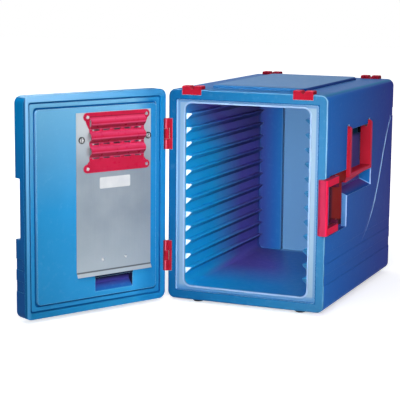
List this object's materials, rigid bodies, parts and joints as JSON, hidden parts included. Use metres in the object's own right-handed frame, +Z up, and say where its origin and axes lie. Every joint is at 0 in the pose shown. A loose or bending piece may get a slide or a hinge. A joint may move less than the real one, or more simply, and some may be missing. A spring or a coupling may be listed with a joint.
{
  "type": "heated food transport cart",
  "caption": "Insulated front-loading food transport box with ledges for pans, a side-hinged door that carries a slotted heater, a side clamp, bail handles and stacking lugs.",
  "frame": {"origin": "on the floor, at the level of the feet's soles, under the middle of the body without its door", "axes": "+Z up, -Y out of the front opening, +X towards the side that carries the clamp"},
  "size_m": [0.7007, 1.0124, 0.5805],
  "materials": {
    "blue_shell": "satin",
    "blue_liner": "satin",
    "foam": "matte",
    "pale_seal": "matte",
    "red_plastic": "satin",
    "red_cover": "satin",
    "sheet_steel": "satin",
    "steel": "satin",
    "black_rubber": "matte",
    "black_plastic": "matte",
    "brass": "satin"
  },
  "bodies": {
    "cabinet": {"outer_shell": "blue_shell", "inner_liner": "blue_liner", "insulation_core": "foam", "left_tray_ledges": "blue_liner", "right_tray_ledges": "blue_liner", "door_seal": "pale_seal", "front_left_stacking_lug": "red_plastic", "front_right_stacking_lug": "red_plastic", "rear_left_stacking_lug": "red_plastic", "rear_right_stacking_lug": "red_plastic", "front_left_foot": "black_rubber", "front_right_foot": "black_rubber", "rear_left_foot": "black_rubber", "rear_right_foot": "black_rubber", "lower_body_hinge_leaf": "red_plastic", "upper_body_hinge_leaf": "red_plastic", "hinge_pins": "steel", "clamp_bracket": "red_plastic", "clamp_pins": "steel", "right_handle_pins": "steel", "left_handle_pins": "steel"},
    "door": {"door_outer_shell": "blue_shell", "door_inner_panel": "blue_liner", "door_insulation": "foam", "lower_door_hinge_leaf": "red_plastic", "upper_door_hinge_leaf": "red_plastic", "heater_tray": "sheet_steel", "heater_plate": "sheet_steel", "heater_cover": "red_cover", "cover_screws": "steel", "plate_rivets": "steel", "heating_element": "sheet_steel", "element_supports": "sheet_steel", "terminal_block": "black_plastic", "thermostat": "sheet_steel", "supply_leads": "black_plastic", "mains_inlet": "black_plastic", "inlet_pins": "brass"},
    "side_clamp": {"side_clamp": "red_plastic"},
    "right_handle": {"right_handle": "red_plastic"},
    "left_handle": {"left_handle": "red_plastic"},
    "left_plate_lock": {"left_plate_lock": "steel"},
    "right_plate_lock": {"right_plate_lock": "steel"}
  },
  "joints": [
    {"name": "door_hinge", "type": "hinge", "parent": "cabinet", "child": "door", "pos_m": [-0.2225, -0.312, 0.125], "axis": [0, 0, 1], "range_deg": [-62, 118]},
    {"name": "clamp_swing", "type": "hinge", "parent": "cabinet", "child": "side_clamp", "pos_m": [0.227, -0.249, 0.219], "axis": [0, 0, 1], "range_deg": [0, 110]},
    {"name": "right_handle_swing", "type": "hinge", "parent": "cabinet", "child": "right_handle", "pos_m": [0.213, -0.136, 0.461], "axis": [0, -1, 0], "range_deg": [0, 100]},
    {"name": "left_handle_swing", "type": "hinge", "parent": "cabinet", "child": "left_handle", "pos_m": [-0.213, -0.136, 0.461], "axis": [0, 1, 0], "range_deg": [0, 100]},
    {"name": "left_lock_turn", "type": "hinge", "parent": "door", "child": "left_plate_lock", "pos_m": [-0.24975, -0.37283, 0.453], "axis": [0.8829, -0.4695, 0], "range_deg": [0, 90]},
    {"name": "right_lock_turn", "type": "hinge", "parent": "door", "child": "right_plate_lock", "pos_m": [-0.3474, -0.55648, 0.453], "axis": [0.8829, -0.4695, 0], "range_deg": [0, 90]}
  ]
}
